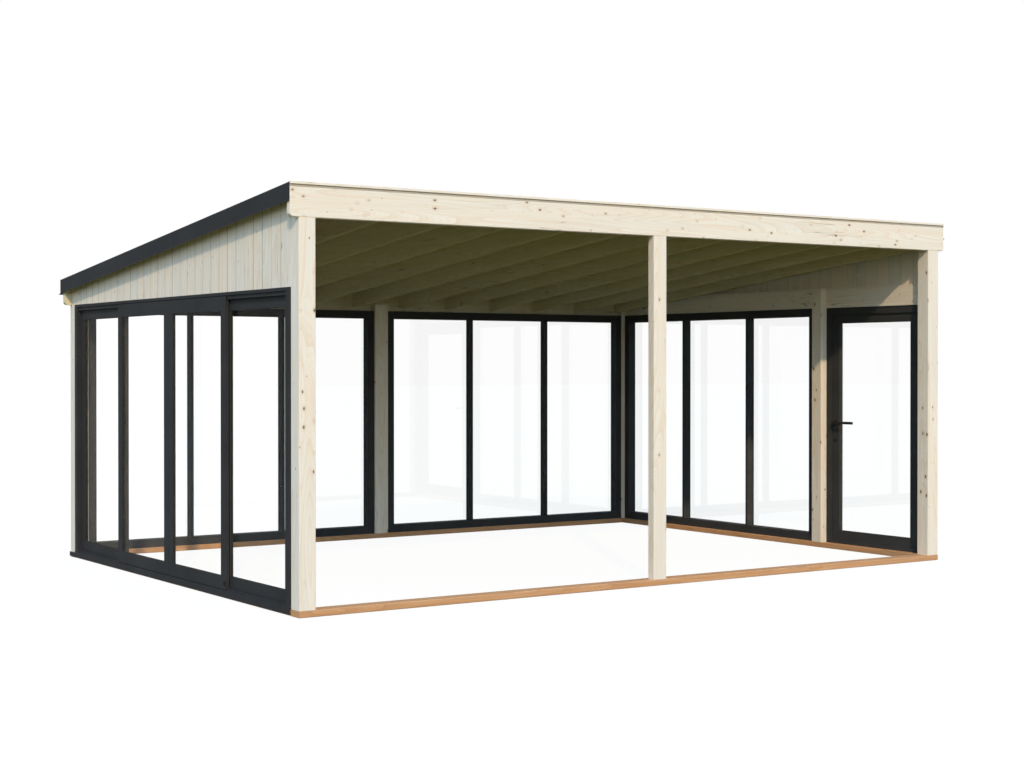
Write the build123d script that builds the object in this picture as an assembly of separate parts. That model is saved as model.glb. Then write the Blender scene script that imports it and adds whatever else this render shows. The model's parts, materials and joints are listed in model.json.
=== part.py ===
"""Open-fronted garden room: timber posts under a mono-pitch roof, with glazed left, back and right walls.

Sizes are in millimetres. Every piece is first placed in a corner frame: X runs along the front from
the outer face of the left posts, Y runs from the front face of the front posts to the back, and Z is
up from the ground. The finished pieces are then shifted so that the origin is on the ground, under
the middle of the whole object.
"""
import os
from math import ceil

from build123d import *

# Overall plan, over the outer faces of the corner posts
room_length = 5940
room_depth = 4300

# Timber sections
post_size = 120
front_middle_post_depth = 70
sill_height = 45
sill_width = 120
arris = 4
beam_thickness = 45
beam_height = 195
beam_overhang = 64
beam_end_round = 28
header_thickness = 45
header_height = 175
rafter_width = 45
rafter_height = 170
rafter_spacing_max = 520
gable_board_thickness = 20
gable_trim_width = 45
back_post_width = 95
back_stud_width = 45
back_post_rise = 60
door_bay_width = 1142

# Heights above the ground
frame_top = 2141
roof_rise = 445

# Roof build-up
deck_thickness = 18
deck_setback = 5
covering_thickness = 10
eaves_overhang = 60
verge_board_thickness = 20
verge_board_height = 78
edge_strip_width = 60
edge_strip_thickness = 15
edge_strip_proud = 3
sheet_thickness = 2
sheet_height = 115
sheet_lap = 70
sheet_front_setback = 6
verge_drip_out = 13
verge_drip_drop = 9
eaves_drip_out = 38
eaves_drip_drop = 10

# Glass, and the fixed windows with three panes
glass_thickness = 6
glass_bite = 10
frame_fit_gap = 2
window_depth = 85
window_stile = 70
window_mullion = 27
window_glass_depth = 67
bead_width = 10
bead_joint = 2
back_window_setback = 20
back_pane_shares = (1 / 3, 1 / 3, 1 / 3)
right_pane_shares = (0.332, 0.349, 0.319)

# Sliding glass wall on the left
slider_proud = 6
slider_depth = 94
slider_jamb_width = 60
head_plate = 22
threshold_plate = 12
track_rib_width = 5
head_rib_drop = 28
threshold_rib_rise = 15
skirt_thickness = 3
skirt_clear_of_ground = 8
panel_thickness = 26
panel_gap = 8
panel_stile = 80
panel_top_rail = 99
panel_bottom_rail = 90
panel_top_gap = 6
panel_bottom_gap = 5
panel_meeting_gap = 6
panel_glass_depth = 10
groove_width = 13
groove_end_gap = 5
slide_seat_gap = 0.3
foot_lock_length = 18
foot_lock_height = 34
foot_lock_depth = 9
foot_lock_round = 3
foot_lock_inset = 4
foot_lock_level = 90
lock_button_radius = 6
lock_button_out = 5

# Hinged glass door in the right wall
door_frame_depth = 55
door_jamb_width = 50
door_threshold_height = 20
door_stop_width = 12
door_stop_thickness = 8
door_stop_gap = 5
door_gap = 7
door_stile = 92
door_top_rail = 80
door_bottom_rail = 88
door_glass_depth = 18

# Door furniture
hinge_radius = 9
hinge_pin_radius = 4
hinge_pin_short = 2
hinge_half_height = 45
hinge_plate_reach = 38
hinge_plate_thickness = 4
hinge_stand = 10
hinge_end_inset = 260
hinge_clearance = 0.3
lever_height = 1114
lever_length = 126
lever_bar_height = 24
lever_bar_thickness = 14
lever_bar_round = 6
lever_stand = 50
lever_neck_radius = 9
lever_clearance = 0.3
rose_radius = 26
rose_thickness = 8
spindle_hole_radius = 14
key_drop = 150
key_rose_radius = 17
key_rose_thickness = 6
key_plug_radius = 9
key_plug_out = 3

# Worked out from the sizes above
middle = room_length / 2
front_beam_bottom = frame_top + roof_rise
roof_front = front_beam_bottom + beam_height
back_beam_middle = room_depth - beam_thickness / 2
roof_fall_share = roof_rise / back_beam_middle
eaves = room_depth + eaves_overhang
verge_left = -beam_overhang
verge_right = room_length + beam_overhang
deck_top = deck_thickness
covering_top = deck_top + covering_thickness
right_post_front = post_size + door_bay_width

object_front = -edge_strip_proud
object_back = eaves + sheet_thickness + eaves_drip_out
to_origin = Pos(-middle, -(object_front + object_back) / 2, 0)

# Turns a piece drawn along X, with its depth along Y, to run towards the front with its depth along X
along_side = Rot(0, 0, -90)

pieces = {}


def roof_z(y):
    """Height of the underside of the roof deck at a distance y behind the front face."""
    return roof_front - roof_fall_share * y


def block(x, y, z):
    """A plain bar between two limits on each axis."""
    size = [high - low for low, high in (x, y, z)]
    centre = [(high + low) / 2 for low, high in (x, y, z)]
    return Pos(*centre) * Box(*size)


def along_x(points, x):
    """An outline of (y, z) points drawn out along the front."""
    outline = Plane.YZ.offset(x[0]) * Polygon(*points, align=None)
    return extrude(outline, x[1] - x[0], dir=Plane.YZ.z_dir)


def under_roof(x, y, bottom):
    """A bar that starts at a level bottom and is cut off along the underside of the roof deck."""
    front, back = y
    points = [(front, bottom), (back, bottom), (back, roof_z(back)), (front, roof_z(front))]
    return along_x(points, x)


def on_roof(x, y, low, high):
    """A sheet or bar that lies along the slope, between two heights over the deck's underside."""
    front, back = y
    points = [(front, roof_z(front) + low), (back, roof_z(back) + low)]
    points += [(back, roof_z(back) + high), (front, roof_z(front) + high)]
    return along_x(points, x)


def down_slope(points, y):
    """An outline of (x, z over the deck's underside) points drawn out down the roof slope."""
    front, back = y
    placed = [(x, roof_z(front) + z) for x, z in points]
    outline = Plane.XZ.offset(-front) * Polygon(*placed, align=None)
    slope = Vector(0, 1, -roof_fall_share)
    return extrude(outline, (back - front) * slope.length, dir=slope)


def other_side(solid):
    """The same piece on the other side of the building."""
    return mirror(solid, Plane.YZ.offset(middle))


def eased(timber, length_axis):
    """The same timber with the arrises along its length planed off."""
    return chamfer(timber.edges().filter_by(length_axis), arris)


def sills():
    """A ring of flat timbers on the ground: front and back run through, the sides fit between."""
    z = (0, sill_height)
    between = (sill_width, room_depth - sill_width)
    pieces["front_sill"] = eased(block((0, room_length), (0, sill_width), z), Axis.X)
    pieces["back_sill"] = eased(block((0, room_length), (room_depth - sill_width, room_depth), z), Axis.X)
    pieces["left_sill"] = eased(block((0, sill_width), between, z), Axis.Y)
    pieces["right_sill"] = other_side(pieces["left_sill"])


def front_posts():
    """Corner posts are notched for the beam, so a tongue of each runs on up to the roof deck."""
    x = (0, post_size)
    notch = block(x, (0, beam_thickness), (front_beam_bottom, roof_front))
    corner = eased(under_roof(x, (0, post_size), sill_height), Axis.Z) - notch
    pieces["front_left_post"] = corner
    pieces["front_right_post"] = other_side(corner)
    centred = (middle - post_size / 2, middle + post_size / 2)
    depth = (0, front_middle_post_depth)
    post = block(centred, depth, (sill_height, front_beam_bottom))
    pieces["front_middle_post"] = eased(post, Axis.Z)


def back_posts():
    """The back beam lies in notches on the outside of the back posts."""
    y = (room_depth - post_size, room_depth)
    beam = (room_depth - beam_thickness, room_depth)
    above = (frame_top, roof_front)
    corner = eased(under_roof((0, post_size), y, sill_height), Axis.Z)
    corner -= block((0, post_size), beam, above)
    pieces["back_left_post"] = corner
    pieces["back_right_post"] = other_side(corner)
    left = middle - (back_post_width + back_stud_width) / 2
    seam = left + back_post_width
    stem = (sill_height, frame_top + back_post_rise)
    for name, x in (("back_middle_post", (left, seam)),
                    ("back_middle_stud", (seam, seam + back_stud_width))):
        pieces[name] = eased(block(x, y, stem), Axis.Z) - block(x, beam, above)


def right_post():
    """A post beside the door, notched on the outside for the header and the boarding."""
    y = (right_post_front, right_post_front + post_size)
    stem = block((room_length - post_size, room_length), y, (sill_height, frame_top + header_height))
    cut = gable_board_thickness + header_thickness
    notch = block((room_length - cut, room_length), y, (frame_top, roof_front))
    pieces["right_middle_post"] = eased(stem, Axis.Z) - notch


def beams():
    """Front and back beams reach past the posts, with rounded lower ends and tops cut to the slope."""
    back = (room_depth - beam_thickness, room_depth)
    for name, y, bottom, outside in (("front_beam", (0, beam_thickness), front_beam_bottom, 0),
                                     ("back_beam", back, frame_top, -1)):
        beam = under_roof((verge_left, verge_right), y, bottom)
        lower_ends = beam.edges().filter_by(Axis.Y).group_by(Axis.Z)[0]
        beam = fillet(lower_ends, beam_end_round)
        face_edges = beam.faces().sort_by(Axis.Y)[outside].edges().sort_by(Axis.Z)
        pieces[name] = chamfer(face_edges[:-1], arris)


def gables():
    """Each side has a header over the glazing, and vertical boarding from there to the roof."""
    header_limits = (gable_board_thickness, gable_board_thickness + header_thickness)
    length = (post_size, room_depth - post_size)
    header = block(header_limits, length, (frame_top, frame_top + header_height))
    pieces["left_header"] = header
    pieces["right_header"] = other_side(header)
    x = (0, gable_board_thickness)
    trim = (post_size, post_size + gable_trim_width)
    boards = under_roof(x, (trim[1], room_depth - post_size), frame_top)
    pieces["left_gable_boards"] = boards
    pieces["right_gable_boards"] = other_side(boards)
    trim_board = under_roof(x, trim, frame_top)
    pieces["gable_trims"] = Compound([trim_board, other_side(trim_board)])


def rafters():
    """Rafters hang between the two beams, evenly spaced, the outer ones beside the corner posts."""
    first = post_size
    last = room_length - post_size - rafter_width
    steps = ceil((last - first) / rafter_spacing_max)
    y = (beam_thickness, room_depth - beam_thickness)
    lefts = [first + (last - first) * number / steps for number in range(steps + 1)]
    bars = [on_roof((left, left + rafter_width), y, -rafter_height, 0) for left in lefts]
    pieces["rafters"] = Compound(bars)


def roof():
    """A boarded deck with a sheet covering, a timber strip along the front and boards under its edges."""
    width = (verge_left, verge_right)
    strip = (object_front, edge_strip_width - edge_strip_proud)
    pieces["roof_deck"] = on_roof(width, (deck_setback, eaves), 0, deck_top)
    pieces["roof_covering"] = on_roof(width, (strip[1], eaves), deck_top, covering_top)
    pieces["front_edge_strip"] = on_roof(width, strip, deck_top, deck_top + edge_strip_thickness)
    verge_limits = (verge_left, verge_left + verge_board_thickness)
    between_beams = (beam_thickness, room_depth - beam_thickness)
    verge_board = on_roof(verge_limits, between_beams, -verge_board_height, 0)
    pieces["verge_boards"] = Compound([verge_board, other_side(verge_board)])
    eaves_limits = (eaves - verge_board_thickness, eaves)
    pieces["eaves_board"] = on_roof(width, eaves_limits, -verge_board_height, 0)


def roof_edges():
    """Folded sheet round the roof: a lap on top, a tall outer face and a drip kicked out at the bottom."""
    top = covering_top + sheet_thickness
    bottom = top - sheet_height
    outer = verge_left - sheet_thickness
    drip = outer - verge_drip_out
    profile = [(verge_left, bottom), (verge_left, covering_top)]
    profile += [(verge_left + sheet_lap, covering_top), (verge_left + sheet_lap, top), (outer, top)]
    profile += [(outer, bottom + sheet_thickness), (drip, bottom + sheet_thickness - verge_drip_drop)]
    profile += [(drip, bottom - verge_drip_drop)]
    side = down_slope(profile, (edge_strip_width - edge_strip_proud, eaves))
    beside_strip = profile[:1] + [(verge_left, top)] + profile[4:]
    side += down_slope(beside_strip, (sheet_front_setback, edge_strip_width - edge_strip_proud))
    pieces["left_roof_edge"] = side
    pieces["right_roof_edge"] = other_side(side)

    lap = eaves - sheet_lap
    back = eaves + sheet_thickness
    level = roof_z(eaves)
    drip = [(back, level + top), (back, level + bottom + sheet_thickness)]
    drip += [(object_back, level + bottom + sheet_thickness - eaves_drip_drop)]
    drip += [(object_back, level + bottom - eaves_drip_drop), (eaves, level + bottom)]
    lapped = [(eaves, level + covering_top), (lap, roof_z(lap) + covering_top), (lap, roof_z(lap) + top)]
    left, right = verge_left + sheet_lap, verge_right - sheet_lap
    drip_edge = along_x(drip + lapped, (left, right))
    drip_edge += along_x(drip + [(eaves, level + top)], (verge_left - sheet_thickness, left))
    drip_edge += along_x(drip + [(eaves, level + top)], (right, verge_right + sheet_thickness))
    pieces["eaves_drip"] = drip_edge


def bead_line(x, z):
    """The fine groove round an opening where its glazing beads are clipped into the room side."""
    grown = [[(low - reach, high + reach) for low, high in (x, z)]
             for reach in (bead_width + bead_joint, bead_width)]
    outer, inner = [block(wide, (0, bead_joint), tall) for wide, tall in grown]
    return outer - inner


def glazed_frame(length, height, depth, stile, rails, glass_from, shares=(1,), mullion=0, beads=True):
    """A flat frame drawn along X, with its depth along Y, and its panes, which sit in grooves.

    rails holds the heights of the bottom and top rail; shares divides the clear width into panes.
    """
    bottom, top = rails
    clear = length - 2 * stile - mullion * (len(shares) - 1)
    frame = block((0, length), (0, depth), (0, height))
    panes = []
    left = stile
    for share in shares:
        right = left + clear * share
        pane = block((left - glass_bite, right + glass_bite),
                     (glass_from, glass_from + glass_thickness),
                     (bottom - glass_bite, height - top + glass_bite))
        frame -= block((left, right), (0, depth), (bottom, height - top))
        frame -= pane
        if beads:
            frame -= bead_line((left, right), (bottom, height - top))
        panes.append(pane)
        left = right + mullion
    return frame, panes


def window(name, length, shares, place):
    """One fixed window of three panes, as tall as the space between the sill and the headers."""
    rails = (window_stile, window_stile)
    frame, panes = glazed_frame(length, frame_top - sill_height, window_depth, window_stile, rails,
                                window_glass_depth, shares, window_mullion)
    pieces[name + "_frame"] = place * frame
    pieces[name + "_glass"] = Compound([place * pane for pane in panes])


def windows():
    """Two fixed windows fill the back wall, and one the right wall behind the door."""
    pair_half = (back_post_width + back_stud_width) / 2
    back_length = middle - pair_half - post_size - 2 * frame_fit_gap
    face = room_depth - back_window_setback - window_depth
    for name, start in (("back_left_window", post_size), ("back_right_window", middle + pair_half)):
        window(name, back_length, back_pane_shares, Pos(start + frame_fit_gap, face, sill_height))
    back_end = room_depth - post_size - frame_fit_gap
    right_length = back_end - right_post_front - post_size - frame_fit_gap
    place = Pos(room_length - window_depth, back_end, sill_height) * along_side
    window("right_window", right_length, right_pane_shares, place)


threshold_top = sill_height + threshold_plate
head_bottom = frame_top - head_plate
panel_bottom = threshold_top + panel_bottom_gap
panel_top = head_bottom - panel_top_gap
slider_face = -slider_proud
inner_track = slider_face + panel_thickness + panel_gap
rib_centres = [face + panel_thickness / 2 for face in (slider_face, inner_track)]
slider_front = post_size + frame_fit_gap
slider_back = room_depth - post_size - frame_fit_gap
clear_front = slider_front + slider_jamb_width
clear_back = slider_back - slider_jamb_width
panel_length = ((clear_back - clear_front - panel_meeting_gap) / 2 + panel_stile) / 2


def slider_frame():
    """Head, threshold and jambs; ribs on the head and threshold guide the panels in two tracks."""
    x = (slider_face, slider_face + slider_depth)
    clear = (clear_front, clear_back)
    head = block(x, clear, (head_bottom, frame_top))
    threshold = block(x, clear, (sill_height, threshold_top))
    for centre in rib_centres:
        rib = (centre - track_rib_width / 2, centre + track_rib_width / 2)
        head += block(rib, clear, (head_bottom - head_rib_drop, head_bottom))
        threshold += block(rib, clear, (threshold_top, threshold_top + threshold_rib_rise))
    skirt = (slider_face - skirt_thickness, slider_face)
    threshold += block(skirt, (slider_front, slider_back), (skirt_clear_of_ground, threshold_top))
    threshold += block(skirt, (slider_back, room_depth), (skirt_clear_of_ground, sill_height))
    pieces["slider_head"] = head
    pieces["slider_threshold"] = threshold
    z = (sill_height, frame_top)
    jambs = [block(x, y, z) for y in ((slider_front, clear_front), (clear_back, slider_back))]
    pieces["slider_jambs"] = Compound(jambs)


def slider_panel(name, face, back_end, seat_gap):
    """One glass panel, grooved top and bottom to run over the ribs of its track."""
    height = panel_top - panel_bottom
    rails = (panel_bottom_rail, panel_top_rail)
    frame, panes = glazed_frame(panel_length, height, panel_thickness, panel_stile, rails,
                                panel_glass_depth, beads=False)
    groove = ((panel_thickness - groove_width) / 2, (panel_thickness + groove_width) / 2)
    seat = threshold_rib_rise - panel_bottom_gap + seat_gap
    frame -= block((0, panel_length), groove, (0, seat))
    top_groove = head_rib_drop - panel_top_gap + groove_end_gap
    frame -= block((0, panel_length), groove, (height - top_groove, height))
    place = Pos(face, back_end, panel_bottom) * along_side
    pieces[name + "_frame"] = place * frame
    pieces[name + "_glass"] = place * panes[0]


def slider_panels():
    """The end panels are fixed in the inner track; the middle two meet and slide in the outer track."""
    meeting = (clear_front + clear_back) / 2
    half_gap = panel_meeting_gap / 2
    slider_panel("back_fixed_panel", inner_track, clear_back, 0)
    slider_panel("back_sliding_panel", slider_face, meeting + half_gap + panel_length, slide_seat_gap)
    slider_panel("front_sliding_panel", slider_face, meeting - half_gap, slide_seat_gap)
    slider_panel("front_fixed_panel", inner_track, clear_front + panel_length, 0)


def foot_lock():
    """A small lock with a push button, low on the front edge of the front sliding panel."""
    front = (clear_front + clear_back - panel_meeting_gap) / 2 - panel_length + foot_lock_inset
    x = (slider_face - foot_lock_depth, slider_face)
    y = (front, front + foot_lock_length)
    z = (foot_lock_level, foot_lock_level + foot_lock_height)
    case = block(x, y, z)
    case = fillet(case.faces().sort_by(Axis.X)[0].edges(), foot_lock_round)
    middle_of_case = Pos(sum(y) / 2, sum(z) / 2)
    button = Plane.YZ.offset(x[0] - lock_button_out) * middle_of_case * Circle(lock_button_radius)
    pieces["panel_foot_lock"] = case + extrude(button, lock_button_out)


door_room_face = room_length - door_frame_depth
leaf_room_face = door_room_face + door_stop_thickness + door_stop_gap
leaf_thickness = room_length - leaf_room_face
jamb_inner_front = post_size + frame_fit_gap + door_jamb_width
jamb_inner_back = right_post_front - frame_fit_gap - door_jamb_width
door_sill_top = sill_height + door_threshold_height
door_head_bottom = frame_top - door_jamb_width
leaf_front = jamb_inner_front + door_gap
leaf_back = jamb_inner_back - door_gap
leaf_bottom = door_sill_top + door_gap
leaf_top = door_head_bottom - door_gap
lever_y = leaf_back - door_stile / 2
hinge_x = room_length + hinge_stand
hinge_y = jamb_inner_front + door_gap / 2


def door_frame():
    """Jambs and head carry a stop on the room side, which the leaf closes against."""
    x = (door_room_face, room_length)
    stop = (door_room_face, door_room_face + door_stop_thickness)
    opening = (door_sill_top, door_head_bottom)
    front = block(x, (jamb_inner_front - door_jamb_width, jamb_inner_front), (sill_height, frame_top))
    front += block(stop, (jamb_inner_front, jamb_inner_front + door_stop_width), opening)
    back = block(x, (jamb_inner_back, jamb_inner_back + door_jamb_width), (sill_height, frame_top))
    back += block(stop, (jamb_inner_back - door_stop_width, jamb_inner_back), opening)
    pieces["door_jambs"] = Compound([front, back])
    between = (jamb_inner_front, jamb_inner_back)
    stop_between = (jamb_inner_front + door_stop_width, jamb_inner_back - door_stop_width)
    head = block(x, between, (door_head_bottom, frame_top))
    head += block(stop, stop_between, (door_head_bottom - door_stop_width, door_head_bottom))
    pieces["door_head"] = head
    threshold = block(x, between, (sill_height, door_sill_top))
    threshold += block(stop, stop_between, (door_sill_top, door_sill_top + door_stop_width))
    pieces["door_threshold"] = threshold


def door_leaf():
    """A glazed leaf with broad stiles, drilled at the handle height for the lever's neck."""
    rails = (door_bottom_rail, door_top_rail)
    leaf, panes = glazed_frame(leaf_back - leaf_front, leaf_top - leaf_bottom, leaf_thickness, door_stile,
                               rails, door_glass_depth)
    place = Pos(leaf_room_face, leaf_back, leaf_bottom) * along_side
    hole = cross_bar(spindle_hole_radius, (leaf_room_face, room_length))
    pieces["door_leaf"] = place * leaf - hole
    pieces["door_glass"] = place * panes[0]


def cross_bar(radius, x, below_lever=0):
    """A round bar along X through the lever's axis, or below it."""
    plane = Plane.YZ.offset(x[0])
    circle = plane * Pos(lever_y, lever_height - below_lever) * Circle(radius)
    return extrude(circle, x[1] - x[0])


def upright(radius, z):
    """A round bar along Z on the hinge axis."""
    circle = Plane.XY.offset(z[0]) * Pos(hinge_x, hinge_y) * Circle(radius)
    return extrude(circle, z[1] - z[0])


def door_hinges():
    """Three lift-off hinges on the outside: the lower halves, with pins, are on the front jamb."""
    heights = (leaf_bottom + hinge_end_inset, (leaf_bottom + leaf_top) / 2, leaf_top - hinge_end_inset)
    plate = (room_length, room_length + hinge_plate_thickness)
    frame_halves = []
    leaf_halves = []
    for height in heights:
        low = (height - hinge_half_height, height)
        high = (height + hinge_clearance, height + hinge_half_height)
        lower = upright(hinge_radius, low) + block(plate, (hinge_y - hinge_plate_reach, hinge_y), low)
        lower += upright(hinge_pin_radius, (height, high[1] - hinge_pin_short))
        upper = upright(hinge_radius, high) + block(plate, (hinge_y, hinge_y + hinge_plate_reach), high)
        upper -= upright(hinge_pin_radius + hinge_clearance, high)
        frame_halves.append(lower)
        leaf_halves.append(upper)
    pieces["door_hinge_pins"] = Compound(frame_halves)
    pieces["door_hinge_knuckles"] = Compound(leaf_halves)


def door_handle():
    """One neck through the leaf carries a lever on each side, in round roses, with key roses below."""
    inside = leaf_room_face - lever_stand
    outside = room_length + lever_stand
    neck = (inside + lever_bar_thickness / 2, outside - lever_bar_thickness / 2)
    lever = cross_bar(lever_neck_radius, neck)
    y = (lever_y - lever_length, lever_y + lever_neck_radius)
    z = (lever_height - lever_bar_height / 2, lever_height + lever_bar_height / 2)
    for x in ((inside, inside + lever_bar_thickness), (outside - lever_bar_thickness, outside)):
        bar = block(x, y, z)
        lever += fillet(bar.edges(), lever_bar_round)
    pieces["door_lever"] = lever
    bore = lever_neck_radius + lever_clearance
    roses = []
    for face, outwards in ((leaf_room_face, -1), (room_length, 1)):
        rose = sorted((face, face + outwards * rose_thickness))
        roses.append(cross_bar(rose_radius, rose) - cross_bar(bore, rose))
        key_front = face + outwards * key_rose_thickness
        plug_front = key_front + outwards * key_plug_out
        key_rose = cross_bar(key_rose_radius, sorted((face, key_front)), key_drop)
        roses.append(key_rose + cross_bar(key_plug_radius, sorted((face, plug_front)), key_drop))
    pieces["door_roses"] = Compound(roses)


def main():
    sills()
    front_posts()
    back_posts()
    right_post()
    beams()
    gables()
    rafters()
    roof()
    roof_edges()
    windows()
    slider_frame()
    slider_panels()
    foot_lock()
    door_frame()
    door_leaf()
    door_hinges()
    door_handle()
    os.makedirs("parts", exist_ok=True)
    for name, solid in pieces.items():
        export_step(to_origin * solid, f"parts/{name}.step")


main()
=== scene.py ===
# %% [markdown]
# # An open-fronted garden room
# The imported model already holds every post, beam, frame and pane at its real size and place. This lesson
# dresses it: it sets the camera, the light and the floor, gives each surface its finish, and adds the pieces
# that are too fine for the solids, such as the boards of the cladding and the rubber round each pane.

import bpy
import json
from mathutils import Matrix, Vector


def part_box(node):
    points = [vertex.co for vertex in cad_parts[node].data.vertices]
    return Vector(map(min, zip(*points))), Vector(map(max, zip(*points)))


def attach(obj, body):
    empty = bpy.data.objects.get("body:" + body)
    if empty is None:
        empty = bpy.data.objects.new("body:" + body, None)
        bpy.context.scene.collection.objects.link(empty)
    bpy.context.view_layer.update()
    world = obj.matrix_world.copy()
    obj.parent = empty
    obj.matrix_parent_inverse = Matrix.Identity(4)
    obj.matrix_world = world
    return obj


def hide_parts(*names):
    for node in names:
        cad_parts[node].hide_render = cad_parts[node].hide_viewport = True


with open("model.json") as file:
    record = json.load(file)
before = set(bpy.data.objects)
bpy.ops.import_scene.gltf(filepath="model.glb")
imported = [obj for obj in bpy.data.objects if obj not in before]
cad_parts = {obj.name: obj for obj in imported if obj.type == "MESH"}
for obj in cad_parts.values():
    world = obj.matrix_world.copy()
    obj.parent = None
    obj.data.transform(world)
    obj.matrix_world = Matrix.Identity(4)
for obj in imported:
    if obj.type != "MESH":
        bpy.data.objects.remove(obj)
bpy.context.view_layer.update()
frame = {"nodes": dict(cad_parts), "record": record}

import json
import math

import bmesh
import bpy
from mathutils import Matrix, Vector

nodes = frame["nodes"]

# %% [markdown]
# ## Camera
# The photograph was taken at eye height from the front left with a longish lens. Place, angle and focal
# length were solved from the straight edges of the posts and beams, so they're written here as measured.
# The picture was cropped a little, which a small vertical shift of the lens repeats.

# %% Camera
PICTURE_WIDTH = 1024
FOCAL_LENGTH_IN_PIXELS = 1712.25
SENSOR_WIDTH = 36
LENS_SHIFT_IN_PIXELS = -7.85
CAMERA_PLACE = (-7.9638, -12.1168, 1.6362)
CAMERA_TURN = 33.812
CAMERA_DIP = 0.389

lens = bpy.data.cameras.new("camera")
lens.sensor_width = SENSOR_WIDTH
lens.lens = FOCAL_LENGTH_IN_PIXELS / PICTURE_WIDTH * SENSOR_WIDTH
lens.shift_y = LENS_SHIFT_IN_PIXELS / PICTURE_WIDTH
camera = bpy.data.objects.new("camera", lens)
camera.location = CAMERA_PLACE
camera.rotation_euler = (math.radians(90 - CAMERA_DIP), 0, math.radians(-CAMERA_TURN))
bpy.context.scene.collection.objects.link(camera)
bpy.context.scene.camera = camera
bpy.context.scene.view_settings.view_transform = "Standard"
print("camera lens", round(lens.lens, 2), "mm")

# %% [markdown]
# ## Node helpers
# A finish is a small graph of nodes. A few helpers keep the graphs short: one adds a node and plugs values or
# other nodes into its inputs by name, one mixes two colours, one stretches a range of values, and two
# multiply.

# %% Node helpers
def add(tree, kind, inputs=(), **settings):
    """A new node; each input takes a plain value or another node's output socket."""
    made = tree.nodes.new(kind)
    for key, value in settings.items():
        setattr(made, key, value)
    for key, value in dict(inputs).items():
        if isinstance(value, bpy.types.NodeSocket):
            tree.links.new(value, made.inputs[key])
        else:
            made.inputs[key].default_value = value
    return made


MIX_FACTOR, MIX_FIRST, MIX_SECOND, MIX_RESULT = 0, 6, 7, 2


def mix_colours(tree, factor, first, second, mode="MIX"):
    """The output socket of a colour mix; a colour is four numbers or a socket."""
    inputs = {MIX_FACTOR: factor, MIX_FIRST: first, MIX_SECOND: second}
    made = add(tree, "ShaderNodeMix", inputs, data_type="RGBA", blend_type=mode)
    return made.outputs[MIX_RESULT]


def spread(tree, value, low, high, to_low=0.0, to_high=1.0):
    """Stretches the part of a value between low and high over a new range."""
    inputs = {"Value": value, "From Min": low, "From Max": high, "To Min": to_low, "To Max": to_high}
    return add(tree, "ShaderNodeMapRange", inputs).outputs["Result"]


def times(tree, first, second):
    """The product of two numbers."""
    return add(tree, "ShaderNodeMath", {0: first, 1: second}, operation="MULTIPLY").outputs[0]


def times_vector(tree, vector, factor):
    """A vector scaled by one number."""
    inputs = {0: vector, "Scale": factor}
    return add(tree, "ShaderNodeVectorMath", inputs, operation="SCALE").outputs["Vector"]


print("helpers ready")

# %% [markdown]
# ## Sun and sky
# The shadow edges in the photograph give the sun's direction: from the front left, about a third of the way
# up. The sky fills the shade with a cool tone. It is brighter overhead than at the horizon, so a wall's shade
# deepens towards an overhang, and little light reaches the ceiling. Low on the sun's side it has a warm glow,
# which shines in under the roof and reaches the foot of the back wall. The picture's background is white, so
# rays that come straight from the camera, from a reflection or through glass see white in place of the sky.
# White that is seen through two walls of glass is lifted a little, because each pane takes a share away.

# %% Sun and sky
SUN_TRAVEL = (0.385, 0.745, -0.545)
SUN_STRENGTH = 2.40
SUN_COLOUR = (1.0, 0.783, 0.535)
SUN_SIZE_DEGREES = 1.5
HORIZON_COLOUR = (0.94, 1.06, 1.15, 1)
ZENITH_COLOUR = (0.65, 1.09, 1.62, 1)
HORIZON_ENDS, ZENITH_STARTS = 0.1, 0.5
GLOW_TOWARDS = (-0.3, -0.954, 0)
GLOW_COLOUR = (0.62, 0.56, 0.42, 1)
GLOW_EDGE, GLOW_FULL = 0.70, 0.86
GLOW_LOWEST, GLOW_LOW, GLOW_HIGH, GLOW_HIGHEST = 0.02, 0.07, 0.24, 0.36
WHITE = (1, 1, 1, 1)
GLASS_LIFT = 1.08
ONE_PANE, TWO_PANES = 2, 4


def seen_directly(tree):
    """One where a ray comes from the camera, a reflection or through glass, and zero for bounced light."""
    path = add(tree, "ShaderNodeLightPath").outputs
    shown = path["Is Camera Ray"]
    for kind in ("Is Glossy Ray", "Is Transmission Ray"):
        shown = add(tree, "ShaderNodeMath", {0: shown, 1: path[kind]}, operation="MAXIMUM").outputs[0]
    bounced = add(tree, "ShaderNodeMath", {0: path["Diffuse Depth"], 1: 1.0}, operation="MINIMUM").outputs[0]
    directly = add(tree, "ShaderNodeMath", {0: shown, 1: bounced}, operation="SUBTRACT", use_clamp=True)
    return directly.outputs[0]


def white_level(tree, level):
    """The strength of a white, lifted where it's seen through two panes; a ray enters and leaves each."""
    crossed = add(tree, "ShaderNodeLightPath").outputs["Transmission Depth"]
    return spread(tree, crossed, ONE_PANE, TWO_PANES, level, level * GLASS_LIFT)


sun = bpy.data.lights.new("sun", "SUN")
sun.energy = SUN_STRENGTH
sun.color = SUN_COLOUR
sun.angle = math.radians(SUN_SIZE_DEGREES)
sun_lamp = bpy.data.objects.new("sun", sun)
sun_lamp.rotation_mode = "QUATERNION"
sun_lamp.rotation_quaternion = Vector(SUN_TRAVEL).to_track_quat("-Z", "Y")
bpy.context.scene.collection.objects.link(sun_lamp)

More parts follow.
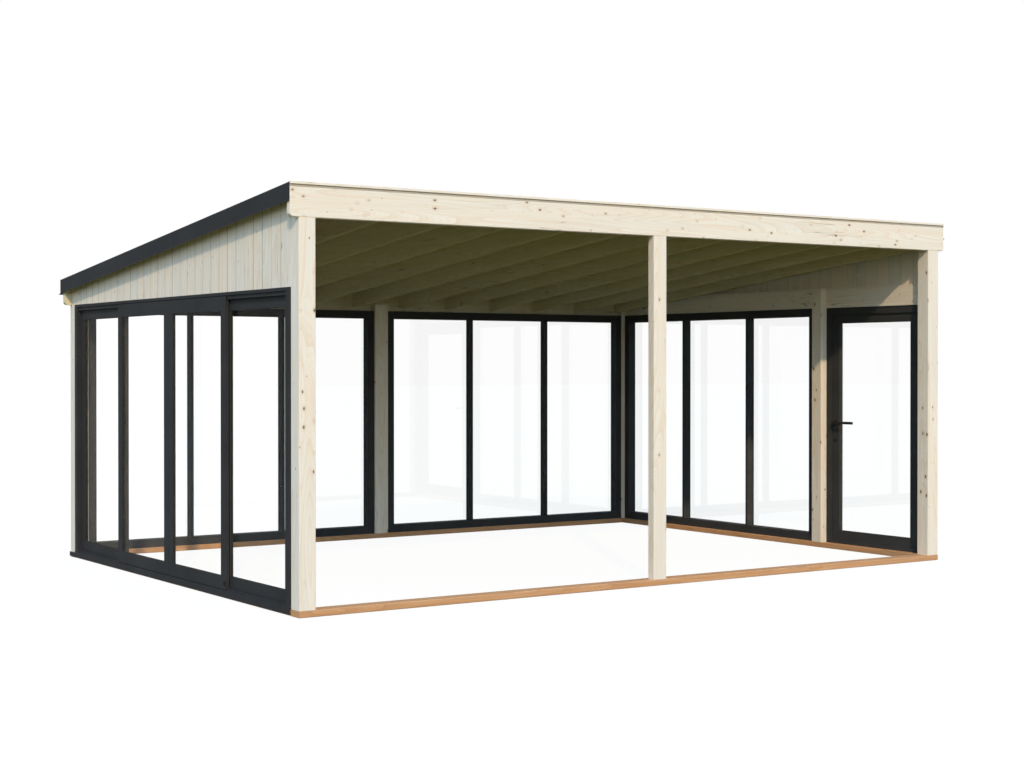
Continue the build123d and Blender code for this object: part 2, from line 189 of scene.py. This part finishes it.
world = bpy.data.worlds.new("sky")
world.use_nodes = True
bpy.context.scene.world = world
sky = world.node_tree
sky.nodes.clear()
towards = add(sky, "ShaderNodeTexCoord").outputs["Generated"]
height = add(sky, "ShaderNodeSeparateXYZ", {"Vector": towards}).outputs["Z"]
dome = mix_colours(sky, spread(sky, height, HORIZON_ENDS, ZENITH_STARTS), HORIZON_COLOUR, ZENITH_COLOUR)
facing = add(sky, "ShaderNodeVectorMath", {0: towards, 1: GLOW_TOWARDS}, operation="DOT_PRODUCT")
facing = facing.outputs["Value"]
band = times(sky, spread(sky, height, GLOW_LOWEST, GLOW_LOW), spread(sky, height, GLOW_HIGHEST, GLOW_HIGH))
glow_here = times(sky, band, spread(sky, facing, GLOW_EDGE, GLOW_FULL))
dome = mix_colours(sky, glow_here, dome, GLOW_COLOUR, "ADD")
fill = add(sky, "ShaderNodeBackground", {"Color": dome, "Strength": 1.0})
backdrop = add(sky, "ShaderNodeBackground", {"Color": WHITE, "Strength": white_level(sky, 1.0)})
either = add(sky, "ShaderNodeMixShader", {0: seen_directly(sky), 1: fill.outputs[0], 2: backdrop.outputs[0]})
add(sky, "ShaderNodeOutputWorld", {"Surface": either.outputs[0]})
print("sun strength", SUN_STRENGTH, "travelling", SUN_TRAVEL)

# %% [markdown]
# ## Floor
# The ground is as white as the background to the eye, but the dark ceiling shows that little light comes back
# up from it. So the floor glows white where it's seen, and is a dull dark green for the light that
# bounces off it.

# %% Floor
BOUNCE_COLOUR = (0.076, 0.075, 0.018, 1)
FLOOR_SIZE = 200
FLOOR_DROP = 0.002
FLOOR_GLOW = 0.935
FLOOR_PALE = (0.07, 0.065, 0.055, 1)

floor_finish = bpy.data.materials.new("floor_finish")
floor_finish.use_nodes = True
ground = floor_finish.node_tree
ground.nodes.clear()
dull = add(ground, "ShaderNodeBsdfDiffuse", {"Color": BOUNCE_COLOUR})
glow = add(ground, "ShaderNodeEmission", {"Color": WHITE, "Strength": white_level(ground, FLOOR_GLOW)})
pale = add(ground, "ShaderNodeBsdfDiffuse", {"Color": FLOOR_PALE})
bright = add(ground, "ShaderNodeAddShader", {0: glow.outputs[0], 1: pale.outputs[0]})
either_floor = {0: seen_directly(ground), 1: dull.outputs[0], 2: bright.outputs[0]}
shown = add(ground, "ShaderNodeMixShader", either_floor)
add(ground, "ShaderNodeOutputMaterial", {"Surface": shown.outputs[0]})

floor_mesh = bpy.data.meshes.new("floor")
floor_shape = bmesh.new()
bmesh.ops.create_grid(floor_shape, x_segments=1, y_segments=1, size=FLOOR_SIZE / 2)
floor_shape.to_mesh(floor_mesh)
floor_shape.free()
floor_mesh.materials.append(floor_finish)
floor = bpy.data.objects.new("floor", floor_mesh)
floor.location.z = -FLOOR_DROP
bpy.context.scene.collection.objects.link(floor)
print("floor", FLOOR_SIZE, "m wide")

# %% [markdown]
# ## Spruce
# The frame is planed, unpainted spruce: cream with faint warm and grey streaks along the grain, fine growth
# rings that show close up, a scatter of small dark knots, and here and there a fine drying crack, where one
# level of a stretched noise is picked out as a line. Solid textures in object space suit it, because
# the grain then runs through a post as it does through a trunk, and no two posts look alike. The pattern is
# made with the grain along its third axis, so the coordinates are swapped round for beams and rafters.

# %% Spruce
def start_finish(name, roughness):
    """A new material with one shader; returns the material, its node tree and the shader."""
    finish = bpy.data.materials.new(name)
    finish.use_nodes = True
    tree = finish.node_tree
    shader = tree.nodes["Principled BSDF"]
    shader.inputs["Roughness"].default_value = roughness
    return finish, tree, shader


AXES_WITH_GRAIN_LAST = {"x": "YZX", "y": "ZXY", "z": "XYZ"}


def grain_space(tree, along):
    """Object coordinates, swapped round so that the grain runs along the last axis."""
    place = add(tree, "ShaderNodeTexCoord").outputs["Object"]
    parts = add(tree, "ShaderNodeSeparateXYZ", {"Vector": place}).outputs
    axes = AXES_WITH_GRAIN_LAST[along]
    inputs = {slot: parts[letter] for slot, letter in enumerate(axes)}
    return add(tree, "ShaderNodeCombineXYZ", inputs).outputs["Vector"]


def stretched(tree, place, across, lengthwise):
    """Coordinates scaled across the grain and, usually far less, along it."""
    inputs = {0: place, 1: (across, across, lengthwise)}
    return add(tree, "ShaderNodeVectorMath", inputs, operation="MULTIPLY").outputs["Vector"]


KNOT_HALO = (0.62, 0.40, 0.22, 1)
KNOT_CORE = (0.10, 0.065, 0.038, 1)
CHECK_COLOUR = (0.22, 0.15, 0.09, 1)
KNOTS_ACROSS, KNOTS_ALONG, KNOT_WOBBLE = 14, 9, 0.05
CRACK_WIDTH = 0.008
FINE_STREAKS, BROAD_STREAKS, GROWTH = (34, 1.3, 3.0), (9, 0.9, 2.0), (5.5, 0.45, 1.0)
FIGURE_LINES, FIGURE_STRENGTH = 22, 0.34
RING_LINES, RING_STRENGTH = 110, 0.2
RING_RELIEF = 0.0004


def grain_noise(tree, place, across, lengthwise, detail=0.0):
    """Noise drawn out along the grain, with this many turns to a metre across it and along it."""
    inputs = {"Vector": stretched(tree, place, across, lengthwise), "Scale": 1.0, "Detail": detail}
    return add(tree, "ShaderNodeTexNoise", inputs).outputs["Fac"]


def contours(tree, height, count):
    """A saw-tooth that climbs from 0 to 1 between the contour lines of a noise."""
    return add(tree, "ShaderNodeMath", {0: times(tree, height, count)}, operation="FRACT").outputs[0]


def add_knots(tree, place, colour, size, crowding):
    """Scattered round knots: each cell of a cell noise gets one of its own size, with a warm halo."""
    wobble = add(tree, "ShaderNodeTexNoise", {"Vector": stretched(tree, place, 60, 40), "Scale": 1.0})
    even = stretched(tree, place, KNOTS_ACROSS * crowding, KNOTS_ALONG * crowding)
    shaken = {0: even, 1: times_vector(tree, wobble.outputs["Color"], KNOT_WOBBLE)}
    knot_place = add(tree, "ShaderNodeVectorMath", shaken, operation="ADD").outputs[0]
    cells = add(tree, "ShaderNodeTexVoronoi", {"Vector": knot_place, "Scale": 1.0, "Randomness": 1.0}).outputs
    luck = add(tree, "ShaderNodeSeparateColor", {"Color": cells["Color"]}).outputs["Red"]
    reach = spread(tree, luck, 0.3, 1.0, 0.3 * size, 1.1 * size)
    away = add(tree, "ShaderNodeMath", {0: cells["Distance"], 1: reach}, operation="DIVIDE").outputs[0]
    colour = mix_colours(tree, spread(tree, away, 0.32, 0.10, 0, 0.4), colour, KNOT_HALO)
    return mix_colours(tree, spread(tree, away, 0.14, 0.08, 0, 0.9), colour, KNOT_CORE)


def add_checks(tree, place, colour):
    """Fine drying cracks along the grain, in the drier stretches only."""
    split = grain_noise(tree, place, 48, 1.1)
    split = add(tree, "ShaderNodeMath", {0: split, 1: 0.5, 2: CRACK_WIDTH}, operation="COMPARE").outputs[0]
    dry = spread(tree, grain_noise(tree, place, 5, 1.6), 0.60, 0.66, 0, 0.55)
    return mix_colours(tree, times(tree, split, dry), colour, CHECK_COLOUR)


def spruce(name, along, tones, knots=1.0, crowding=1.0, sheen=0.12):
    """Planed softwood with streaks, growth-ring figure, knots and checks; knots scales their size."""
    finish, tree, shader = start_finish(name, 0.6)
    shader.inputs["Specular IOR Level"].default_value = sheen
    place = grain_space(tree, along)
    pale, warm, grey, late = tones
    fine, broad = grain_noise(tree, place, *FINE_STREAKS), grain_noise(tree, place, *BROAD_STREAKS)
    colour = mix_colours(tree, spread(tree, fine, 0.35, 0.7), pale, warm)
    colour = mix_colours(tree, spread(tree, broad, 0.45, 0.75, 0, 0.7), colour, grey)
    growth = grain_noise(tree, place, *GROWTH)
    figure = contours(tree, growth, FIGURE_LINES)
    colour = mix_colours(tree, spread(tree, figure, 0.45, 1.0, 0, FIGURE_STRENGTH), colour, late)
    rings = contours(tree, growth, RING_LINES)
    colour = mix_colours(tree, spread(tree, rings, 0.5, 1.0, 0, RING_STRENGTH), colour, late)
    colour = add_knots(tree, place, colour, knots, crowding)
    colour = add_checks(tree, place, colour)
    tree.links.new(colour, shader.inputs["Base Color"])
    tree.links.new(spread(tree, rings, 0, 1, 0.56, 0.70), shader.inputs["Roughness"])
    bump = add(tree, "ShaderNodeBump", {"Height": rings, "Strength": 0.25, "Distance": RING_RELIEF})
    tree.links.new(bump.outputs[0], shader.inputs["Normal"])
    return finish


SPRUCE_TONES = ((0.835, 0.765, 0.665, 1), (0.815, 0.705, 0.57, 1), (0.755, 0.71, 0.63, 1),
                (0.71, 0.52, 0.34, 1))
# The rafters and the back beam are the same spruce, given darker, more olive tones: painted shade for the dim
# light under the roof.
CEILING_SHADE_TINT = (0.90, 0.90, 0.74, 1)
SHADED_CEILING_TONES = [tuple(part * tint for part, tint in zip(tone, CEILING_SHADE_TINT)) for tone in SPRUCE_TONES]
spruce_along = {axis: spruce(f"spruce_along_{axis}", axis, SPRUCE_TONES) for axis in "xyz"}
beam_spruce = spruce("beam_spruce", "x", SPRUCE_TONES, knots=1.15, crowding=1.3)
shaded_ceiling_along = {axis: spruce(f"shaded_ceiling_along_{axis}", axis, SHADED_CEILING_TONES, 0.4, sheen=0.0) for axis in "xy"}
print("spruce finishes", len(spruce_along) + len(shaded_ceiling_along) + 1)

# %% [markdown]
# ## Sill timber
# The ring on the ground is the same softwood, soaked in a brown preservative, so the streaks stay and the
# colours change.

# %% Sill timber
SILL_TONES = ((0.62, 0.34, 0.175, 1), (0.54, 0.275, 0.12, 1), (0.50, 0.29, 0.155, 1), (0.40, 0.18, 0.07, 1))
sill_along = {axis: spruce(f"treated_sill_along_{axis}", axis, SILL_TONES, knots=0.8) for axis in "xy"}
print("sill finishes", [finish.name for finish in sill_along.values()])

# %% [markdown]
# ## Metal, glass and rubber
# The window frames and roof edges are coated in matt anthracite. A coating isn't one flat tone: it has a fine
# orange-peel texture, and its tone drifts a little from place to place. It hardly mirrors anything, so its
# specular level is close to nothing. The glass is clear, and lets the sun's light through to what is behind
# it. The windows and the door hold sealed double units, and the sliding panels single sheets, which reflect
# far less: one solid stands for each, so the difference is in how strongly it bends light. The seals round
# the panes are soft black rubber.

# %% Metal, glass and rubber
COATING_SPECULAR = 0.01
COATING_DRIFT = 0.86
PEEL_SCALE, PEEL_RELIEF = 900.0, 0.0003
LIGHT_THROUGH_GLASS = (0.96, 0.97, 0.965, 1)


def coated_metal(name, colour, roughness):
    """Powder-coated sheet or profile with a fine texture and a slightly uneven tone."""
    finish, tree, shader = start_finish(name, roughness)
    shader.inputs["Specular IOR Level"].default_value = COATING_SPECULAR
    place = add(tree, "ShaderNodeTexCoord").outputs["Object"]
    cloud = add(tree, "ShaderNodeTexNoise", {"Vector": place, "Scale": 3.0, "Detail": 4.0}).outputs["Fac"]
    darker = tuple(channel * COATING_DRIFT for channel in colour[:3]) + (1,)
    tone = mix_colours(tree, spread(tree, cloud, 0.3, 0.7), colour, darker)
    tree.links.new(tone, shader.inputs["Base Color"])
    sheen = spread(tree, cloud, 0.3, 0.7, roughness - 0.05, roughness + 0.05)
    tree.links.new(sheen, shader.inputs["Roughness"])
    peel = add(tree, "ShaderNodeTexNoise", {"Vector": place, "Scale": PEEL_SCALE, "Detail": 2.0}).outputs["Fac"]
    bump = add(tree, "ShaderNodeBump", {"Height": peel, "Strength": 0.12, "Distance": PEEL_RELIEF})
    tree.links.new(bump.outputs[0], shader.inputs["Normal"])
    return finish


def clear_glass(name, tint, bend):
    """Clear glass that doesn't block the lamps; the more it bends light, the more it reflects."""
    finish, tree, shader = start_finish(name, 0.0)
    shader.inputs["Base Color"].default_value = tint
    shader.inputs["Transmission Weight"].default_value = 1.0
    shader.inputs["IOR"].default_value = bend
    path = add(tree, "ShaderNodeLightPath").outputs["Is Shadow Ray"]
    through = add(tree, "ShaderNodeBsdfTransparent", {"Color": LIGHT_THROUGH_GLASS}).outputs[0]
    either = add(tree, "ShaderNodeMixShader", {0: path, 1: shader.outputs[0], 2: through})
    tree.links.new(either.outputs[0], tree.nodes["Material Output"].inputs["Surface"])
    return finish


def soft_rubber(name, colour):
    """Matt black rubber with a slightly mottled surface."""
    finish, tree, shader = start_finish(name, 0.8)
    place = add(tree, "ShaderNodeTexCoord").outputs["Object"]
    mottle = add(tree, "ShaderNodeTexNoise", {"Vector": place, "Scale": 25.0, "Detail": 5.0}).outputs["Fac"]
    paler = tuple(channel * 1.5 for channel in colour[:3]) + (1,)
    tone = mix_colours(tree, spread(tree, mottle, 0.35, 0.7), colour, paler)
    tree.links.new(tone, shader.inputs["Base Color"])
    return finish


FRAME_COLOUR = (0.053, 0.0535, 0.054, 1)
SLIDER_COLOUR = (0.040, 0.040, 0.041, 1)
SHEET_COLOUR = (0.042, 0.042, 0.044, 1)
FURNITURE_COLOUR = (0.026, 0.026, 0.026, 1)
frame_coating = coated_metal("frame_coating", FRAME_COLOUR, 0.5)
slider_coating = coated_metal("slider_coating", SLIDER_COLOUR, 0.5)
roof_edge_coating = coated_metal("roof_edge_coating", SHEET_COLOUR, 0.55)
handle_coating = coated_metal("handle_coating", FURNITURE_COLOUR, 0.4)
window_glass = clear_glass("window_glass", (0.975, 0.98, 0.975, 1), 1.45)
sliding_glass = clear_glass("sliding_glass", (0.985, 0.99, 0.985, 1), 1.05)
seal_rubber = soft_rubber("seal_rubber", (0.012, 0.012, 0.012, 1))
roof_membrane = soft_rubber("roof_membrane", (0.045, 0.045, 0.048, 1))
print("coatings, glass and rubber ready")

# %% [markdown]
# ## Dressing the solids
# Each solid that already has the right shape keeps it and only gets a finish. The timber needs the finish
# whose grain runs the way the real piece was cut.

# %% Dress the solids
GRAIN = {
    "z": ["front_left_post", "front_right_post", "back_left_post", "back_right_post", "front_middle_post",
          "back_middle_post", "back_middle_stud", "right_middle_post", "gable_trims"],
    "x": ["front_edge_strip", "eaves_board"],
    "y": ["left_header", "right_header", "verge_boards"],
}
SILL_GRAIN = {"x": ["front_sill", "back_sill"], "y": ["left_sill", "right_sill"]}
SLOT_FINISH = {"frame_metal": frame_coating, "roof_edge_sheet": roof_edge_coating, "glazing": window_glass,
               "roof_covering": roof_membrane, "door_furniture": handle_coating}


def dress(name, finish):
    """Gives a solid from the frame its finish."""
    for slot in nodes[name].material_slots:
        slot.material = finish


for axis, names in GRAIN.items():
    for name in names:
        dress(name, spruce_along[axis])
dress("front_beam", beam_spruce)
# The back beam and the rafters take the ceiling tones, which hold painted shade.
dress("back_beam", shaded_ceiling_along["x"])
dress("rafters", shaded_ceiling_along["y"])
for axis, names in SILL_GRAIN.items():
    for name in names:
        dress(name, sill_along[axis])
for subpart in frame["record"]["subparts"]:
    if subpart["material_slot"] in SLOT_FINISH:
        dress(subpart["node"], SLOT_FINISH[subpart["material_slot"]])
for name in nodes:
    if name.endswith("panel_glass"):
        dress(name, sliding_glass)
    elif name.startswith("slider_") or name.endswith("panel_frame"):
        dress(name, slider_coating)
print("dressed", len(nodes), "solids")

# %% [markdown]
# ## Pieces from bars
# Boards are bars. A bar starts as a unit cube, is scaled to its size and moved to its place, and many of them
# are gathered in one mesh, so that a wall of boards is one piece.

# %% Pieces from bars
def bar(shape, low, high):
    """Adds a plain bar between two corners and returns its vertices."""
    low, high = Vector(low), Vector(high)
    verts = bmesh.ops.create_cube(shape, size=1)["verts"]
    bmesh.ops.scale(shape, verts=verts, vec=high - low)
    bmesh.ops.translate(shape, verts=verts, vec=(high + low) / 2)
    return verts


def edges_along(verts, axis):
    """The edges between these vertices that run along one axis."""
    edges = {edge for vert in verts for edge in vert.link_edges}
    return [edge for edge in edges
            if abs((edge.verts[0].co - edge.verts[1].co).normalized()[axis]) > 0.999]


def finish_piece(name, shape, body, finish, replaced=()):
    """Turns a bmesh into a piece that rides on a body with the given finish, and hides the solids it replaces.
    """
    mesh = bpy.data.meshes.new(name)
    bmesh.ops.recalc_face_normals(shape, faces=shape.faces)
    shape.to_mesh(mesh)
    shape.free()
    mesh.materials.append(finish)
    piece = bpy.data.objects.new(name, mesh)
    bpy.context.scene.collection.objects.link(piece)
    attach(piece, body)
    if replaced:
        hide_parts(*replaced)
    print(name, len(mesh.polygons), "faces")
    return piece


X, Y, Z = 0, 1, 2

# %% [markdown]
# ## Gable cladding
# Above each header the wall is clad with upright boards, about 140 mm from joint to joint, and each joint
# shows as a narrow V. The solid is one sheet, so it's replaced by real boards: each is a bar whose upright
# edges are bevelled. The bars start a little too tall, and one cut along the roof's underside trims them all.

# %% Gable cladding
BOARD_PITCH = 0.140
BOARD_GAP = 0.0012
BOARD_BEVEL = 0.0025
JOINT_REACH = 0.0035
FIRST_JOINT = 0.097
SPARE_HEIGHT = 0.02

deck_low, deck_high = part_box("roof_deck")
trim_low, trim_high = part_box("gable_trims")
boards_low, boards_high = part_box("left_gable_boards")
roof_fall = (trim_high.z - boards_high.z) / (boards_low.y - trim_low.y)
roof_normal = Vector((0, roof_fall, 1)).normalized()


def roof_z(y):
    """Height of the roof deck's underside."""
    return boards_high.z - roof_fall * (y - boards_low.y)


def gable_cladding(name, node, finish):
    """Upright boards in the place of one gable's sheet."""
    low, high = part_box(node)
    shape = bmesh.new()
    start = low.y
    end = low.y + FIRST_JOINT
    while start < high.y - BOARD_GAP:
        far = (high.x, min(end, high.y) - BOARD_GAP, high.z + SPARE_HEIGHT)
        verts = bar(shape, (low.x, start, low.z), far)
        bmesh.ops.bevel(shape, geom=edges_along(verts, Z), offset=BOARD_BEVEL, affect="EDGES", segments=1,
                        profile=0.5, material=-1)
        start, end = end, end + BOARD_PITCH
    everything = shape.verts[:] + shape.edges[:] + shape.faces[:]
    cut = bmesh.ops.bisect_plane(shape, geom=everything, plane_co=(0, low.y, roof_z(low.y)),
                                 plane_no=roof_normal, clear_outer=True)
    rim = [item for item in cut["geom_cut"] if isinstance(item, bmesh.types.BMEdge)]
    bmesh.ops.holes_fill(shape, edges=rim)
    return finish_piece(name, shape, "structure", finish, [node])


def board_spruce(name, along, tones, joints, darkest, knots, sheen=0.12):
    """Spruce whose tone changes from board to board; dark joints cross Y at first plus whole pitches."""
    first, pitch = joints
    finish = spruce(name, along, tones, knots, sheen=sheen)
    tree = finish.node_tree
    shader = tree.nodes["Principled BSDF"]
    place = add(tree, "ShaderNodeTexCoord").outputs["Object"]
    position = add(tree, "ShaderNodeSeparateXYZ", {"Vector": place}).outputs["Y"]
    counted = add(tree, "ShaderNodeMath", {0: position, 1: first}, operation="SUBTRACT").outputs[0]
    to_joint = add(tree, "ShaderNodeMath", {0: counted, 1: pitch / 2}, operation="PINGPONG").outputs[0]
    counted = add(tree, "ShaderNodeMath", {0: counted, 1: pitch}, operation="DIVIDE").outputs[0]
    board = add(tree, "ShaderNodeMath", {0: counted}, operation="FLOOR").outputs[0]
    chance = add(tree, "ShaderNodeTexWhiteNoise", {"W": board}, noise_dimensions="1D").outputs["Value"]
    wood = shader.inputs["Base Color"].links[0].from_socket
    tint = mix_colours(tree, chance, (0.96, 0.97, 0.98, 1), (1.0, 0.97, 0.94, 1))
    toned = mix_colours(tree, 1.0, wood, tint, "MULTIPLY")
    in_joint = spread(tree, to_joint, JOINT_REACH, JOINT_REACH * 0.7)
    nearest = add(tree, "ShaderNodeMath", {0: counted}, operation="ROUND").outputs[0]
    depth = add(tree, "ShaderNodeTexWhiteNoise", {"W": nearest}, noise_dimensions="1D").outputs["Value"]
    darkness = times(tree, in_joint, spread(tree, depth, 0, 1, darkest * 0.4, darkest))
    jointed = mix_colours(tree, darkness, toned, (0.13, 0.11, 0.08, 1))
    tree.links.new(jointed, shader.inputs["Base Color"])
    return finish


LEFT_JOINT_DARKNESS, RIGHT_JOINT_DARKNESS = 0.85, 0.25
CLADDING_KNOTS = 0.9
board_joints = (boards_low.y + FIRST_JOINT, BOARD_PITCH)
left_spruce = board_spruce("left_cladding_spruce", "z", SPRUCE_TONES, board_joints, LEFT_JOINT_DARKNESS,
                           CLADDING_KNOTS)
right_spruce = board_spruce("right_cladding_spruce", "z", SPRUCE_TONES, board_joints, RIGHT_JOINT_DARKNESS,
                            CLADDING_KNOTS)
gable_cladding("left_gable_cladding", "left_gable_boards", left_spruce)
gable_cladding("right_gable_cladding", "right_gable_boards", right_spruce)

# %% [markdown]
# ## Roof boards
# Seen from inside, the roof deck is boarded: boards run across the rafters, and their joints show as fine
# lines. The bars are made level, bevelled along their lower edges and then tipped together to the slope.

# %% Roof boards
DECK_BOARD_PITCH = 0.121
DECK_BOARD_BEVEL = 0.003
DECK_THICKNESS = 0.018
# The same darkness paints the joints and, as painted shade, the deck's front edge.
DECK_JOINT_DARKNESS_AND_EDGE_SHADE, DECK_KNOTS = 0.7, 0.25


def roof_boards():
    """The deck as separate boards, laid from the front edge to the eaves."""
    slope_length = (deck_high.y - deck_low.y) * math.hypot(1, roof_fall)
    count = math.ceil(slope_length / DECK_BOARD_PITCH)
    pitch = slope_length / count
    shape = bmesh.new()
    for number in range(count):
        verts = bar(shape, (deck_low.x, pitch * number, 0),
                    (deck_high.x, pitch * (number + 1) - BOARD_GAP, DECK_THICKNESS))
        under = [edge for edge in edges_along(verts, X)
                 if max(vert.co.z for vert in edge.verts) < DECK_THICKNESS / 2]
        bmesh.ops.bevel(shape, geom=under, offset=DECK_BOARD_BEVEL, affect="EDGES", segments=1, profile=0.5,
                        material=-1)
    tip = Matrix.Rotation(-math.atan(roof_fall), 3, "X")
    bmesh.ops.rotate(shape, verts=shape.verts, cent=(0, 0, 0), matrix=tip)
    bmesh.ops.translate(shape, verts=shape.verts, vec=(0, deck_low.y, roof_z(deck_low.y)))
    # The first joint lies on the deck's front edge, so that edge is darkened too: painted shade for the shadow
    # gap under the front strip.
    joints = (deck_low.y, pitch / math.hypot(1, roof_fall))
    finish = board_spruce("deck_spruce", "x", SPRUCE_TONES, joints, DECK_JOINT_DARKNESS_AND_EDGE_SHADE, DECK_KNOTS, sheen=0.0)
    return finish_piece("roof_boards", shape, "structure", finish, ["roof_deck"])


roof_boards()

# %% [markdown]
# ## Seals round the panes
# Each pane is held by a thin black seal on both faces, which shows as a fine dark line where the glass meets
# its frame. A seal is a rectangle that is inset by its width; the middle is removed, the ring is drawn out to
# its depth, and the edges that show are rounded. A lone face is all rim, so the inset has to be told to take
# the rim along, or it makes nothing. The panes tell where the seals go: each is one loose part of its glass
# solid. A seal starts a little inside the glass, because two faces in one plane would flicker.

# %% Seals round the panes
PANE_BITE = 0.010
SEAL_WIDTH = 0.003
SEAL_DEPTH = 0.004
SEAL_SINK = 0.0005
SEAL_ROUND = 0.0008


def loose_boxes(name):
    """The corners of each loose part of a solid from the frame."""
    shape = bmesh.new()
    shape.from_mesh(nodes[name].data)
    bmesh.ops.remove_doubles(shape, verts=shape.verts, dist=1e-5)
    boxes = []
    waiting = set(shape.verts)
    while waiting:
        group, front = set(), [waiting.pop()]
        while front:
            vert = front.pop()
            group.add(vert)
            near = {edge.other_vert(vert) for edge in vert.link_edges} & waiting
            waiting -= near
            front.extend(near)
        places = [vert.co for vert in group]
        low, high = ([pick(place[axis] for place in places) for axis in (X, Y, Z)] for pick in (min, max))
        boxes.append((Vector(low), Vector(high)))
    shape.free()
    return boxes


def add_seal(shape, low, high, normal):
    """One ring on the face of a pane that looks along normal, an axis and a sign."""
    axis, sign = normal
    flat = Y if axis == X else X
    width = high[flat] - low[flat] - 2 * PANE_BITE
    height = high.z - low.z - 2 * PANE_BITE
    made = bmesh.ops.create_grid(shape, x_segments=1, y_segments=1, size=0.5)["verts"]
    bmesh.ops.scale(shape, verts=made, vec=(width, height, 1))
    bmesh.ops.rotate(shape, verts=made, cent=(0, 0, 0), matrix=Matrix.Rotation(math.radians(90), 3, "X"))
    if axis == X:
        bmesh.ops.rotate(shape, verts=made, cent=(0, 0, 0), matrix=Matrix.Rotation(math.radians(90), 3, "Z"))
    middle = (low + high) / 2
    middle[axis] = high[axis] - SEAL_SINK if sign > 0 else low[axis] + SEAL_SINK
    bmesh.ops.translate(shape, verts=made, vec=middle)
    face = made[0].link_faces[0]
    ring = bmesh.ops.inset_region(shape, faces=[face], thickness=SEAL_WIDTH, use_boundary=True,
                                  use_even_offset=True)["faces"]
    bmesh.ops.delete(shape, geom=[face], context="FACES_ONLY")
    outward = Vector((0, 0, 0))
    outward[axis] = sign * SEAL_DEPTH
    drawn = bmesh.ops.extrude_face_region(shape, geom=ring, use_keep_orig=True)["geom"]
    moved = [item for item in drawn if isinstance(item, bmesh.types.BMVert)]
    bmesh.ops.translate(shape, verts=moved, vec=outward)
    top = {item for item in drawn if isinstance(item, bmesh.types.BMFace)}
    rims = {edge for cap in top for edge in cap.edges if not top.issuperset(edge.link_faces)}
    bmesh.ops.bevel(shape, geom=list(rims), offset=SEAL_ROUND, affect="EDGES", segments=2, profile=0.5,
                    material=-1)


def pane_seals(name, node, body):
    """Seals on both faces of every pane in one glass solid."""
    shape = bmesh.new()
    for low, high in loose_boxes(node):
        axis = X if high.x - low.x < high.y - low.y else Y
        for sign in (1, -1):
            add_seal(shape, low, high, (axis, sign))
    return finish_piece(name, shape, body, seal_rubber)


bodies = frame["record"]["behaviour"]["bodies"]
body_of_node = {node: body for body, names in bodies.items() for node in names}
for node in [name for name in nodes if name.endswith("_glass")]:
    pane_seals(node.replace("_glass", "_seals"), node, body_of_node[node])
